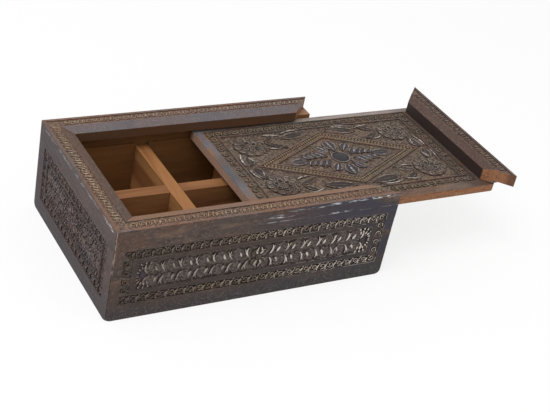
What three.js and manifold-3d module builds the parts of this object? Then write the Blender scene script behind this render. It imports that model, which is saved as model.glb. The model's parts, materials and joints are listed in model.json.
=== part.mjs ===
// A carved wooden box with a lid that slides out at one end, and lapped dividers housed in the walls.
// Millimetres, +Z up. The origin is the middle of the underside, +X points to the end where the lid
// draws out, and -Y to the front. The lid stands half open.

import * as THREE from 'three';
import { mergeVertices } from 'three/addons/utils/BufferGeometryUtils.js';
import Module from 'manifold-3d';

const wasm = await Module();
wasm.setup();

// Case: four mitred walls
const caseLength = 300;
const caseWidth = 194;
const wallThickness = 18;
const mitreGap = 0.3;
const wornCornerRadius = 6;
const wornTipDepth = 1.4;
const wornCornerSteps = 4;

// Runway for the lid: a ledge cut into the walls, and the low wall at the open end
const ledgeHeight = 72;
const sideLedgeDepth = 3;
const leftLedgeDepth = 10;
const lidPlay = 2.7;

// Bottom board, let into a rebate round the foot of the walls
const bottomThickness = 9;
const bottomRebateDepth = 8;
const bottomFit = 0.3;

// Rim mouldings on top of the walls, which overhang the lid
const rimWidth = 25;
const rimHeight = 13.5;
const rimTopWidth = 15.2;
const rimBevelDrop = 3.6;
const rimEdgeWidth = 3.2;
const rimBandWidth = 10.8;
const rimBandDepth = 0.9;

// Dividers, lapped over each other and housed in the walls
const dividerThickness = 13.5;
const dividerDropBelowLedge = 3.5;
const dividerHousing = 3;
const dividerFit = 0.3;
const endCompartmentLength = 77.6;

// Sliding lid
const lidThickness = 10;
const lidSideClearance = 0.7;
const lidEndClearance = 0.7;
const lidRunClearance = 0.3;
const lidMarginWidth = 9;
const lidMarginDrop = 1.3;
const lidOuterCornerRadius = 6;
const lidInnerCornerRadius = 4.5;
const lidOpening = 147;

// Pull bar across the outer end of the lid
const barLipDepth = 9.3;
const barLift = 0.3;

// Carved panels on the outer faces of the walls: a sunk frame, a raised strip and a sunk field
const carvingDepth = 2;
const leafRelief = 1;
const frameWidth = 9.5;
const longPanelInset = 10.5;
const longPanelStrip = 5;
const endPanelInset = 14.8;
const endPanelStrip = 1.2;
const panelBottom = 17;
const panelTopMargin = 9;
const lowPanelTopMargin = 7;

// Garland of paired leaves in a panel's field, which lean away from the middle
const longGarland = { start: 22.5, pitch: 17.2, end: 15, length: 13.5, width: 15, bend: 2, lean: 0.35 };
const endGarland = { start: 25, pitch: 11.5, end: 8, length: 16, width: 7, bend: -2.4, lean: 0.75 };
const garlandGap = 1;
const longMiddleFlower = { petals: 4, inner: 2.6, length: 8, width: 5.4, boss: 2 };
const endMiddleFlower = { petals: 8, inner: 4.6, length: 10.4, width: 6, boss: 3.8 };
const leafSteps = 4;

// Carved lid: a sunk border, and a sunk field with a rhombus frame, flowers and leaves
const lidCarvingDepth = 1.5;
const lidLeafRelief = 0.75;
const lidBarMargin = 4;
const lidBorderWidth = 12;
const lidStrip = 1.4;
const rhombusHalfLength = 99;
const rhombusHalfWidth = 50;
const rhombusFilletWidth = 1.6;
const rhombusBandWidth = 7;
const rosetteReach = [89, 36.5];
const rosetteRadius = 18.6;
const rosetteLobes = 8;
const rosetteLobeDepth = 0.14;
const rosetteEyeRadius = 9;
const rosetteBossRadius = 5;

// Flower in the middle of the lid: a boss in a ring, with petals all round and a spray to each side
const flowerCorners = 16;
const flowerBossRadius = 7.6;
const flowerRingRadius = 10.6;
const flowerRingWidth = 1.6;
const crownPetal = { x: 0, y: 12, angle: Math.PI / 2, length: 24, width: 15 };
const axisLeaf = { x: 41, y: 0, angle: 0, length: 25, width: 14 };
const diagonalPetal = { x: 8.6, y: 8, angle: 0.86, length: 20, width: 11 };
const sprayLeaf = { x: 16, y: 3, angle: 0.88, length: 17, width: 7, bend: -1.5 };
const sprayCount = 3;
const sprayPitch = 8;
const sprayTaper = 0.82;

// Leaves between the rhombus and the rosettes in one quarter of the lid
const longLeaf = { x: 46, y: 46, angle: 3.02, length: 37, width: 11.5, bend: -1 };
const upperSplitLeaf = { x: 69, y: 41, angle: 2.58, length: 24, width: 6, bend: -2 };
const lowerSplitLeaf = { x: 69, y: 39.5, angle: 3.4, length: 25, width: 6, bend: 2 };
const endBud = { x: 108.5, y: 2.5, angle: 2.05, length: 20, width: 11, bend: -1.5 };

// Nails that hold the bottom board and the pull bar
const nailSides = 8;
const nailShankRadius = 1.2;
const nailHeadRadius = 3;
const nailHeadThickness = 1;
const nailPointLength = 3;
const nailHoleClearance = 0.25;
const bottomNailLength = 28;
const barNailLength = 17;
const longSideNailEndDistance = 40;
const endNailEndDistance = 52;
const barNailEndDistance = 26;

// How far a cutting block runs past the face that it cuts
const overrun = 1;

// Heights and lengths that follow from the sizes above
const lidUnderside = ledgeHeight + lidRunClearance;
const lidTop = lidUnderside + lidThickness;
const wallHeight = lidTop + lidPlay;
const caseTop = wallHeight + rimHeight;
const dividerTop = ledgeHeight - dividerDropBelowLedge;
const crossDividerReach = caseLength / 2 - wallThickness - endCompartmentLength - dividerThickness / 2;
const lidLeft = -caseLength / 2 + wallThickness - leftLedgeDepth + lidEndClearance;
const lidRight = caseLength / 2 - barLipDepth;
const lidHalfWidth = caseWidth / 2 - wallThickness + sideLedgeDepth - lidSideClearance;

// Each side is drawn from the middle of its outer foot: x along it, y into the box, z up
const sides = {
  front: { turn: 0, length: caseLength, middle: [0, -caseWidth / 2] },
  right: { turn: Math.PI / 2, length: caseWidth, middle: [caseLength / 2, 0] },
  rear: { turn: Math.PI, length: caseLength, middle: [0, caseWidth / 2] },
  left: { turn: -Math.PI / 2, length: caseWidth, middle: [-caseLength / 2, 0] },
};

// Materials
const finish = (color, roughness, metalness = 0) =>
  new THREE.MeshStandardMaterial({ color, roughness, metalness, flatShading: true });
const stainedWood = finish('#4a3a30', 0.62);
const wornRimWood = finish('#5a4537', 0.6);
const bareWood = finish('#8a5f3c', 0.75);
const boardWood = finish('#7a5a3c', 0.8);
const iron = finish('#3b3532', 0.55, 0.7);

// Closed geometry to solid, and solid to named mesh
function solid(geometry) {
  geometry.deleteAttribute('normal');
  geometry.deleteAttribute('uv');
  const merged = mergeVertices(geometry);
  return new wasm.Manifold(new wasm.Mesh({
    numProp: 3,
    vertProperties: Float32Array.from(merged.attributes.position.array),
    triVerts: Uint32Array.from(merged.index.array),
  }));
}

function namedMesh(name, body, material) {
  const { vertProperties, triVerts } = body.getMesh();
  const geometry = new THREE.BufferGeometry();
  geometry.setAttribute('position', new THREE.BufferAttribute(Float32Array.from(vertProperties), 3));
  geometry.setIndex(new THREE.BufferAttribute(Uint32Array.from(triVerts), 1));
  geometry.computeVertexNormals();
  const mesh = new THREE.Mesh(geometry, material);
  mesh.name = name;
  return mesh;
}

function onSide(mesh, side) {
  mesh.rotation.z = side.turn;
  mesh.position.set(side.middle[0], side.middle[1], 0);
  return mesh;
}

// A block between two corners, and an upright prism over a plan outline
function block([x0, y0, z0], [x1, y1, z1]) {
  const geometry = new THREE.BoxGeometry(x1 - x0, y1 - y0, z1 - z0);
  return solid(geometry.translate((x0 + x1) / 2, (y0 + y1) / 2, (z0 + z1) / 2));
}

function outline(points) {
  return new THREE.Shape(points.map(([x, y]) => new THREE.Vector2(x, y)));
}

function prism(shape, bottom, top, curveSegments = 6) {
  const depth = top - bottom;
  const geometry = new THREE.ExtrudeGeometry(shape, { depth, bevelEnabled: false, curveSegments });
  return solid(geometry.translate(0, 0, bottom));
}

// Plan of a piece with both ends mitred at 45 degrees, long on its outer side
function mitredPlan(length, depth) {
  const half = length / 2 - mitreGap * Math.SQRT1_2;
  return outline([[-half, 0], [half, 0], [half - depth, depth], [-half + depth, depth]]);
}

// The whole case with its four bottom corners worn round, which every wall is trimmed to. The arrises
// between them stay sharp, so each corner is an arc on each of its three faces and a blunt tip.
function wornCase(side) {
  const depth = side === sides.front || side === sides.rear ? caseWidth : caseLength;
  const points = [];
  for (const end of [-1, 1]) {
    for (const [outerY, inwards] of [[0, 1], [depth, -1]]) {
      const place = (x, y, z) => points.push([end * (side.length / 2 - x), outerY + inwards * y, z]);
      place(0, 0, wallHeight);
      place(wornTipDepth, wornTipDepth, wornTipDepth);
      for (let step = 0; step <= wornCornerSteps; step += 1) {
        const angle = (Math.PI / 2) * (step / wornCornerSteps);
        const along = wornCornerRadius * (1 - Math.sin(angle));
        const across = wornCornerRadius * (1 - Math.cos(angle));
        place(along, across, 0);
        place(along, 0, across);
        place(0, along, across);
      }
    }
  }
  return wasm.Manifold.hull(points);
}

// Nails, and the holes that they are driven into
function nailGeometry(length) {
  const profile = [
    [0, 0],
    [nailHeadRadius, 0],
    [nailHeadRadius, nailHeadThickness],
    [nailShankRadius, nailHeadThickness],
    [nailShankRadius, length - nailPointLength],
    [0, length],
  ].map(([x, y]) => new THREE.Vector2(x, y));
  return new THREE.LatheGeometry(profile, nailSides).rotateX(Math.PI / 2);
}

function nailHole(x, y, z, length) {
  const bore = (radius, depth) => solid(
    new THREE.CylinderGeometry(radius, radius, depth, nailSides)
      .rotateX(Math.PI / 2)
      .translate(x, y, z + depth / 2),
  );
  const counterbore = bore(nailHeadRadius + nailHoleClearance, nailHeadThickness + nailHoleClearance);
  const shank = bore(nailShankRadius + nailHoleClearance, length + nailHoleClearance);
  return counterbore.add(shank);
}

function nail(name, x, y, z, length) {
  const mesh = namedMesh(name, solid(nailGeometry(length)), iron);
  mesh.position.set(x, y, z);
  return mesh;
}

const bottomNailInset = wallThickness - bottomRebateDepth / 2;
const longSideNail = caseLength / 2 - longSideNailEndDistance;
const endNail = caseWidth / 2 - endNailEndDistance;
const bottomNailPlaces = {
  front: [-longSideNail, 0, longSideNail],
  rear: [-longSideNail, 0, longSideNail],
  left: [-endNail, endNail],
  right: [-endNail, endNail],
};

// Outline of a leaf from its base to its tip, bent to its left
function leafOutline({ x, y, angle, length, width, bend = 0 }) {
  const edge = (step, side) => {
    const along = step / leafSteps;
    const swell = Math.sin(Math.PI * along ** 0.85);
    const across = bend * along * along + side * (width / 2) * swell;
    return [
      x + length * along * Math.cos(angle) - across * Math.sin(angle),
      y + length * along * Math.sin(angle) + across * Math.cos(angle),
    ];
  };
  const points = [edge(0, 1)];
  for (let step = 1; step < leafSteps; step += 1) points.push(edge(step, -1));
  points.push(edge(leafSteps, 1));
  for (let step = leafSteps - 1; step > 0; step -= 1) points.push(edge(step, 1));
  return outline(points);
}

function roundOutline(x, y, radius, corners) {
  return outline(Array.from({ length: corners }, (_, index) => {
    const angle = (2 * Math.PI * index) / corners;
    return [x + radius * Math.cos(angle), y + radius * Math.sin(angle)];
  }));
}

// Leaves round a boss, all of one size
function flowerOutlines({ x = 0, y = 0, petals, inner, length, width, boss }) {
  const ring = Array.from({ length: petals }, (_, index) => {
    const angle = (2 * Math.PI * (index + 0.5)) / petals;
    const base = { x: x + inner * Math.cos(angle), y: y + inner * Math.sin(angle) };
    return leafOutline({ ...base, angle, length, width });
  });
  return [roundOutline(x, y, boss, 2 * petals), ...ring];
}

// Pairs of leaves above and below a middle line, mirrored about the middle of the field
function garlandOutlines(halfLength, middleHeight, { start, pitch, end, length, width, bend, lean }) {
  const outlines = [];
  for (let reach = start; reach <= halfLength - end; reach += pitch) {
    for (const side of [-1, 1]) {
      for (const row of [-1, 1]) {
        outlines.push(leafOutline({
          x: side * reach,
          y: middleHeight + row * garlandGap,
          angle: Math.atan2(row * Math.cos(lean), side * Math.sin(lean)),
          length,
          width,
          bend: side * row * bend,
        }));
      }
    }
  }
  return outlines;
}

// A sunk panel: a frame band and a field with raised leaves, kept apart by a strip
function sunkPanel(length, height, { inset, topMargin, strip, garland, flower }) {
  const half = length / 2 - inset;
  const top = height - topMargin;
  const sunk = (shrink) => block(
    [-half + shrink, -overrun, panelBottom + shrink],
    [half - shrink, carvingDepth, top - shrink],
  );
  const middleHeight = (panelBottom + top) / 2;
  const outlines = [
    ...garlandOutlines(half - frameWidth - strip, middleHeight, garland),
    ...flowerOutlines({ ...flower, y: middleHeight }),
  ];
  let field = sunk(frameWidth + strip);
  for (const shape of outlines) {
    const leaf = new THREE.ExtrudeGeometry(shape, { depth: leafRelief + overrun, bevelEnabled: false });
    field = field.subtract(solid(leaf.rotateX(Math.PI / 2).translate(0, carvingDepth + overrun, 0)));
  }
  return sunk(0).subtract(sunk(frameWidth)).add(field);
}

// Walls
const housings = {
  front: [-crossDividerReach, crossDividerReach],
  rear: [-crossDividerReach, crossDividerReach],
  left: [0],
  right: [0],
};

function wall(sideName, { upper, openEnd = 0, panel }) {
  const side = sides[sideName];
  let body = prism(mitredPlan(side.length, wallThickness), 0, ledgeHeight);
  if (upper > 0) {
    const half = side.length / 2;
    const long = half - mitreGap * Math.SQRT1_2;
    const squareEnd = [[openEnd * half, 0], [openEnd * half, upper]];
    const mitredEnd = [[-openEnd * (long - upper), upper], [-openEnd * long, 0]];
    const plan = openEnd ? outline([...squareEnd, ...mitredEnd]) : mitredPlan(side.length, upper);
    body = body.add(prism(plan, ledgeHeight, wallHeight));
  }
  body = body.intersect(wornCase(side));
  body = body.subtract(block(
    [-side.length, wallThickness - bottomRebateDepth, -overrun],
    [side.length, wallThickness + overrun, bottomThickness],
  ));
  for (const x of housings[sideName]) {
    const reach = dividerThickness / 2 + dividerFit;
    body = body.subtract(block(
      [x - reach, wallThickness - dividerHousing, bottomThickness - overrun],
      [x + reach, wallThickness + overrun, ledgeHeight + overrun],
    ));
  }
  for (const x of bottomNailPlaces[sideName]) {
    body = body.subtract(nailHole(x, bottomNailInset, 0, bottomNailLength));
  }
  const height = upper > 0 ? wallHeight : ledgeHeight;
  body = body.subtract(sunkPanel(side.length, height, panel));
  return onSide(namedMesh(`${sideName}_wall`, body, stainedWood), side);
}

// Rim mouldings, and the bar of the same section on the lid
function rimSection(bottom) {
  const top = caseTop;
  const bandEnd = rimEdgeWidth + rimBandWidth;
  return outline([
    [0, bottom],
    [rimWidth, bottom],
    [rimWidth, top - rimBevelDrop],
    [rimTopWidth, top],
    [bandEnd, top],
    [bandEnd, top - rimBandDepth],
    [rimEdgeWidth, top - rimBandDepth],
    [rimEdgeWidth, top],
    [0, top],
  ]);
}

function moulding(side, bottom) {
  const length = side.length;
  const section = new THREE.ExtrudeGeometry(rimSection(bottom), { depth: length, bevelEnabled: false });
  const along = section.rotateX(Math.PI / 2).rotateZ(Math.PI / 2).translate(-length / 2, 0, 0);
  return solid(along).intersect(prism(mitredPlan(length, rimWidth), 0, caseTop + overrun));
}

function rim(sideName) {
  const side = sides[sideName];
  return onSide(namedMesh(`${sideName}_rim`, moulding(side, wallHeight), wornRimWood), side);
}

// Bottom board
function bottomBoard() {
  const halfX = caseLength / 2 - wallThickness + bottomRebateDepth - bottomFit;
  const halfY = caseWidth / 2 - wallThickness + bottomRebateDepth - bottomFit;
  let body = block([-halfX, -halfY, 0], [halfX, halfY, bottomThickness]);
  for (const [x, y] of bottomNails) body = body.subtract(nailHole(x, y, 0, bottomNailLength));
  return namedMesh('bottom_board', body, boardWood);
}

const bottomNails = Object.entries(bottomNailPlaces).flatMap(([sideName, places]) => {
  const { turn, middle } = sides[sideName];
  return places.map((x) => [
    middle[0] + x * Math.cos(turn) - bottomNailInset * Math.sin(turn),
    middle[1] + x * Math.sin(turn) + bottomNailInset * Math.cos(turn),
  ]);
});

// Dividers: the long one is notched from above, the cross ones from below
const lapHeight = (bottomThickness + dividerTop) / 2;
const dividerHalf = dividerThickness / 2;

function longDivider() {
  const half = caseLength / 2 - wallThickness + dividerHousing - dividerFit;
  let body = block([-half, -dividerHalf, bottomThickness], [half, dividerHalf, dividerTop]);
  for (const x of housings.front) {
    const reach = dividerHalf + dividerFit;
    const notch = block([x - reach, -dividerThickness, lapHeight], [x + reach, dividerThickness, caseTop]);
    body = body.subtract(notch);
  }
  return namedMesh('long_divider', body, bareWood);
}

function crossDivider(name, x) {
  const half = caseWidth / 2 - wallThickness + dividerHousing - dividerFit;
  const reach = dividerHalf + dividerFit;
  const body = block([-dividerHalf, -half, bottomThickness], [dividerHalf, half, dividerTop])
    .subtract(block([-dividerThickness, -reach, 0], [dividerThickness, reach, lapHeight]));
  const mesh = namedMesh(name, body, bareWood);
  mesh.position.x = x;
  return mesh;
}

// Lid panel: bevelled margins on three edges, and rounded corners
function lidPlan() {
  const outer = lidOuterCornerRadius;
  const inner = lidInnerCornerRadius;
  const shape = new THREE.Shape();
  shape.moveTo(lidLeft + inner, -lidHalfWidth);
  shape.absarc(lidRight - outer, -lidHalfWidth + outer, outer, -Math.PI / 2, 0, false);
  shape.absarc(lidRight - outer, lidHalfWidth - outer, outer, 0, Math.PI / 2, false);
  shape.absarc(lidLeft + inner, lidHalfWidth - inner, inner, Math.PI / 2, Math.PI, false);
  shape.absarc(lidLeft + inner, -lidHalfWidth + inner, inner, Math.PI, 1.5 * Math.PI, false);
  return shape;
}

// Carving on the lid, between the bevelled margin of its inner end and the bar
const lidCarvingStart = lidLeft + lidMarginWidth;
const lidCarvingEnd = caseLength / 2 - rimWidth - lidBarMargin;
const lidCarvingMiddle = (lidCarvingStart + lidCarvingEnd) / 2;

function rhombus(inset) {
  const sideLength = Math.hypot(rhombusHalfLength, rhombusHalfWidth);
  const scale = 1 - (inset * sideLength) / (rhombusHalfLength * rhombusHalfWidth);
  const [a, b] = [rhombusHalfLength * scale, rhombusHalfWidth * scale];
  return outline([[-a, 0], [0, -b], [a, 0], [0, b]]);
}

// The leaves of one quarter of the lid, which the other three mirror
function lidLeaves() {
  const spray = Array.from({ length: sprayCount }, (_, index) => ({
    ...sprayLeaf,
    x: sprayLeaf.x + index * sprayPitch,
    y: sprayLeaf.y * sprayTaper ** index,
    length: sprayLeaf.length * sprayTaper ** index,
    width: sprayLeaf.width * sprayTaper ** index,
  }));
  return [diagonalPetal, ...spray, longLeaf, upperSplitLeaf, lowerSplitLeaf, endBud];
}

function mirrored({ x, y, angle, bend = 0, ...leaf }, sideX, sideY) {
  const turned = Math.atan2(sideY * Math.sin(angle), sideX * Math.cos(angle));
  return { ...leaf, x: sideX * x, y: sideY * y, angle: turned, bend: sideX * sideY * bend };
}

function rosetteOutlines(x, y) {
  const corners = 3 * rosetteLobes;
  const scallop = Array.from({ length: corners }, (_, index) => {
    const angle = (2 * Math.PI * index) / corners;
    const radius = rosetteRadius * (1 - rosetteLobeDepth * Math.abs(Math.cos((rosetteLobes * angle) / 2)));
    return [x + radius * Math.cos(angle), y + radius * Math.sin(angle)];
  });
  const rosette = outline(scallop);
  rosette.holes.push(roundOutline(x, y, rosetteEyeRadius, rosetteLobes));
  return [rosette, roundOutline(x, y, rosetteBossRadius, rosetteLobes)];
}

function lidFlowerOutlines() {
  const ring = roundOutline(0, 0, flowerRingRadius, flowerCorners);
  ring.holes.push(roundOutline(0, 0, flowerRingRadius - flowerRingWidth, flowerCorners));
  const shapes = [roundOutline(0, 0, flowerBossRadius, flowerCorners), ring];
  for (const side of [-1, 1]) {
    shapes.push(leafOutline(mirrored(crownPetal, 1, side)), leafOutline(mirrored(axisLeaf, side, 1)));
  }
  return shapes;
}

function lidCarving() {
  const halfLength = (lidCarvingEnd - lidCarvingStart) / 2;
  const halfWidth = lidHalfWidth - lidMarginWidth;
  const sunk = (shrink) => block(
    [-halfLength + shrink, -halfWidth + shrink, lidTop - lidCarvingDepth],
    [halfLength - shrink, halfWidth - shrink, lidTop + overrun],
  );
  const raised = (shape, relief) =>
    prism(shape, lidTop - lidCarvingDepth - overrun, lidTop - lidCarvingDepth + relief);
  let field = sunk(lidBorderWidth + lidStrip);
  const bandStart = rhombusFilletWidth + rhombusBandWidth;
  for (const inset of [0, bandStart]) {
    const frame = rhombus(inset);
    frame.holes.push(rhombus(inset + rhombusFilletWidth));
    field = field.subtract(raised(frame, lidCarvingDepth + 2 * overrun));
  }
  const shapes = lidFlowerOutlines();
  for (const sideX of [-1, 1]) {
    for (const sideY of [-1, 1]) {
      shapes.push(...rosetteOutlines(sideX * rosetteReach[0], sideY * rosetteReach[1]));
      for (const leaf of lidLeaves()) shapes.push(leafOutline(mirrored(leaf, sideX, sideY)));
    }
  }
  for (const shape of shapes) field = field.subtract(raised(shape, lidLeafRelief));
  const border = sunk(0).subtract(sunk(lidBorderWidth));
  return border.add(field).translate([lidCarvingMiddle, 0, 0]);
}

function lidPanel() {
  const pastEnd = lidRight + 2 * lidMarginWidth;
  const [front, back] = [-lidHalfWidth, lidHalfWidth];
  const plan = outline([[lidLeft, front], [pastEnd, front], [pastEnd, back], [lidLeft, back]]);
  const board = new THREE.ExtrudeGeometry(plan, {
    depth: lidThickness - lidMarginDrop,
    bevelThickness: lidMarginDrop,
    bevelSize: lidMarginWidth,
    bevelOffset: -lidMarginWidth,
    bevelSegments: 1,
  }).translate(0, 0, lidUnderside);
  let body = solid(board).intersect(prism(lidPlan(), lidUnderside, lidTop + overrun));
  body = body.subtract(lidCarving());
  for (const y of barNailPlaces) body = body.subtract(nailHole(barNailX, y, lidUnderside, barNailLength));
  return namedMesh('lid_panel', body, stainedWood);
}

const barNailX = (lidRight + caseLength / 2 - rimWidth) / 2;
const barNailReach = lidHalfWidth - barNailEndDistance;
const barNailPlaces = [-barNailReach, 0, barNailReach];

// Pull bar: a length of rim moulding that stands on the lid by a foot, with its lip and ends raised clear
function lidBar() {
  const side = sides.right;
  const footHalf = Math.min(lidHalfWidth, caseWidth / 2 - barLipDepth);
  const foot = block([-footHalf, barLipDepth, lidTop], [footHalf, rimWidth, wallHeight + barLift + overrun])
    .intersect(prism(mitredPlan(side.length, rimWidth), 0, caseTop));
  let body = moulding(side, wallHeight + barLift).add(foot);
  const inset = caseLength / 2 - barNailX;
  for (const y of barNailPlaces) body = body.subtract(nailHole(y, inset, lidUnderside, barNailLength));
  return onSide(namedMesh('lid_bar', body, wornRimWood), side);
}

// Assembly
const box = new THREE.Group();
const sideUpper = wallThickness - sideLedgeDepth;
const longPanel = {
  inset: longPanelInset,
  topMargin: panelTopMargin,
  strip: longPanelStrip,
  garland: longGarland,
  flower: longMiddleFlower,
};
const endPanel = {
  inset: endPanelInset,
  topMargin: panelTopMargin,
  strip: endPanelStrip,
  garland: endGarland,
  flower: endMiddleFlower,
};
box.add(wall('front', { upper: sideUpper, openEnd: 1, panel: longPanel }));
box.add(wall('rear', { upper: sideUpper, openEnd: -1, panel: longPanel }));
box.add(wall('left', { upper: wallThickness - leftLedgeDepth, panel: endPanel }));
box.add(wall('right', { upper: 0, panel: { ...endPanel, topMargin: lowPanelTopMargin } }));
box.add(bottomBoard());
box.add(rim('front'), rim('rear'), rim('left'));
box.add(longDivider());
box.add(crossDivider('cross_divider_left', -crossDividerReach));
box.add(crossDivider('cross_divider_right', crossDividerReach));
bottomNails.forEach(([x, y], index) => {
  box.add(nail(`bottom_nail_${index + 1}`, x, y, 0, bottomNailLength));
});

const lid = new THREE.Group();
lid.position.x = lidOpening;
lid.add(lidPanel(), lidBar());
barNailPlaces.forEach((y, index) => {
  lid.add(nail(`bar_nail_${index + 1}`, barNailX, y, lidUnderside, barNailLength));
});
box.add(lid);

export default box;
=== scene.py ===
import json
import math

import bpy
from mathutils import Matrix, Vector

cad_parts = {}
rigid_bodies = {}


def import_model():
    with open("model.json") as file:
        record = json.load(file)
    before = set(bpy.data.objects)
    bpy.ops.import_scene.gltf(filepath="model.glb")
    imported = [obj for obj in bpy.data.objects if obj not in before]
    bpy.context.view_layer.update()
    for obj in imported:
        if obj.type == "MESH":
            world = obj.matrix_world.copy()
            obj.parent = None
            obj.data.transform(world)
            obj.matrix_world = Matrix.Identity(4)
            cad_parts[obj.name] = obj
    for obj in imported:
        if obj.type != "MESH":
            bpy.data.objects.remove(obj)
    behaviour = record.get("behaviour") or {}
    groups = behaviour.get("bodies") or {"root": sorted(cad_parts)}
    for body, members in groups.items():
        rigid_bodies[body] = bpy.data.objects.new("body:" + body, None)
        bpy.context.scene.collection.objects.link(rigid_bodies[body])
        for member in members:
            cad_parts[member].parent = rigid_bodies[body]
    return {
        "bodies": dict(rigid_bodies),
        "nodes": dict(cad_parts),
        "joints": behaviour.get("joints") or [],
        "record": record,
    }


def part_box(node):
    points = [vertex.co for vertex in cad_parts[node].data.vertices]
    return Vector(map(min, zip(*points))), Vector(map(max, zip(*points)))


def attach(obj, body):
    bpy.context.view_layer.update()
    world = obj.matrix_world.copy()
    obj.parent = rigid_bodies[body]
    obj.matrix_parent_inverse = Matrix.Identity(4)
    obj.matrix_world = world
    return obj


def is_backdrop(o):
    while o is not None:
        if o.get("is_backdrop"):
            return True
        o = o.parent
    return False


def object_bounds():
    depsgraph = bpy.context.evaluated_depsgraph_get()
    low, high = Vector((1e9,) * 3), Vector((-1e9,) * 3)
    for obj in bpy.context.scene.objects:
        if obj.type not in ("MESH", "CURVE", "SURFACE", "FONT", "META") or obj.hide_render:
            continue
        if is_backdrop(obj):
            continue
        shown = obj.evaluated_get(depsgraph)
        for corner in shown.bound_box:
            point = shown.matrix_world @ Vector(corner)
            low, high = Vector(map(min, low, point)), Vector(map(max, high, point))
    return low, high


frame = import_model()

cad_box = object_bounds()
nodes = frame["nodes"]


# Camera: a long lens, above and to the left of the front corner, held a little out of level.
# Its place and its turns were fitted to the corners of the case.
camera_place = Vector((-0.5324, -0.8618, 0.6890))
camera_heading = math.radians(-35.11)
camera_tilt = math.radians(57.96)
camera_roll = math.radians(12.52)

camera_data = bpy.data.cameras.new("camera")
camera_data.lens = 78.73
camera_data.sensor_width = 36
camera = bpy.data.objects.new("camera", camera_data)
bpy.context.scene.collection.objects.link(camera)
camera.matrix_world = (
    Matrix.Translation(camera_place)
    @ Matrix.Rotation(camera_heading, 4, "Z")
    @ Matrix.Rotation(camera_tilt, 4, "X")
    @ Matrix.Rotation(camera_roll, 4, "Z")
)
bpy.context.scene.camera = camera
bpy.context.scene.view_settings.view_transform = "Standard"


# Floor and light: a white studio table under one large soft lamp, with a paler fill from all round.
# The table is mostly its own white to the camera, so that only a faint shadow of the box is left on it.
floor_size = 8.0
floor_white = 0.9
floor_glow = 0.8
fill_strength = 0.72
key_power = 30.0
key_size = 1.4
key_place = Vector((-0.95, -0.45, 2.1))
key_aim = Vector((0.05, 0, 0.05))


def add(tree, kind, sockets=None, **settings):
    """Adds a node, sets its options, and gives its sockets values or links."""
    node = tree.nodes.new(kind)
    for option, value in settings.items():
        setattr(node, option, value)
    for key, value in (sockets or {}).items():
        if isinstance(value, bpy.types.NodeSocket):
            tree.links.new(value, node.inputs[key])
        else:
            node.inputs[key].default_value = value
    return node


def new_material(name):
    """An empty node material, with its tree and its output node."""
    material = bpy.data.materials.new(name)
    material.use_nodes = True
    material.node_tree.nodes.clear()
    return material, material.node_tree, add(material.node_tree, "ShaderNodeOutputMaterial")


def seen_directly(tree):
    """1 for what the camera sees, also in a gloss, and 0 for light that falls on the box."""
    rays = add(tree, "ShaderNodeLightPath").outputs
    either = {0: rays["Is Camera Ray"], 1: rays["Is Glossy Ray"]}
    return add(tree, "ShaderNodeMath", either, operation="MAXIMUM").outputs[0]


floor_mesh = bpy.data.meshes.new("floor")
half_floor = floor_size / 2
floor_corners = [(x, y, 0) for x in (-half_floor, half_floor) for y in (-half_floor, half_floor)]
floor_mesh.from_pydata(floor_corners, [], [(0, 2, 3, 1)])
floor = bpy.data.objects.new("floor", floor_mesh)
bpy.context.scene.collection.objects.link(floor)
floor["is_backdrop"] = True
floor_material, tree, out = new_material("white_table")
share = add(tree, "ShaderNodeMath", {0: seen_directly(tree), 1: floor_glow}, operation="MULTIPLY")
matt = add(tree, "ShaderNodeBsdfDiffuse", {"Color": (floor_white, floor_white, floor_white, 1)})
glow = add(tree, "ShaderNodeEmission", {"Color": (1, 1, 1, 1), "Strength": 1.0})
mixed = add(tree, "ShaderNodeMixShader", {0: share.outputs[0], 1: matt.outputs[0], 2: glow.outputs[0]})
tree.links.new(mixed.outputs[0], out.inputs["Surface"])
floor_mesh.materials.append(floor_material)

world = bpy.data.worlds.new("studio")
world.use_nodes = True
world.node_tree.nodes.clear()
level = {"Value": seen_directly(world.node_tree), "To Min": fill_strength, "To Max": 1.0}
strength = add(world.node_tree, "ShaderNodeMapRange", level).outputs[0]
backdrop = add(world.node_tree, "ShaderNodeBackground", {"Color": (1, 1, 1, 1), "Strength": strength})
world_out = add(world.node_tree, "ShaderNodeOutputWorld")
world.node_tree.links.new(backdrop.outputs[0], world_out.inputs["Surface"])
bpy.context.scene.world = world

key_data = bpy.data.lights.new("soft_box", "AREA")
key_data.energy = key_power
key_data.size = key_size
key = bpy.data.objects.new("soft_box", key_data)
bpy.context.scene.collection.objects.link(key)
key.location = key_place
key.rotation_euler = (key_aim - key_place).to_track_quat("-Z", "Y").to_euler()


# Walls: four hardwood boards, mitred at the corners and glued, stained a dark umber and waxed by hand.
# Years of dust and old blue-grey wax lie in the pores, and the arrises are worn to the paler wood.
# Their inner faces, the runway and the bare end of the rear wall were never stained.
umber = "#543f34"
ash_grey = "#4e4039"
navy = "#30364a"
blue_black = "#2a2b3a"
# The deepest stain, in the pores, is also the colour of painted shade in corners and cuts.
deep_stain_and_shade = "#17110f"
towards_foot_dark = "#2d2727"
foot_stain = "#2c2829"
foot_dust = "#a5a29e"
panel_stain = "#2e2827"
end_grime_and_shade = "#30232a"
ground_dirt = ("#332b29", "#695d57")
dust = "#b3a597"
worn_wood = "#8d6a52"
wall_chalk = "#cdc3bb"
chipped_wood = "#b39a90"
inner_brown = "#80552e"
inner_dark = "#573819"
end_grain_brown = "#9d785c"
wax_ior = 1.35
carving_depth = 0.002
arris_radius = 0.0008
handled_from, handled_to = -0.05, 0.1
bare_end = 0.115


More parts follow.
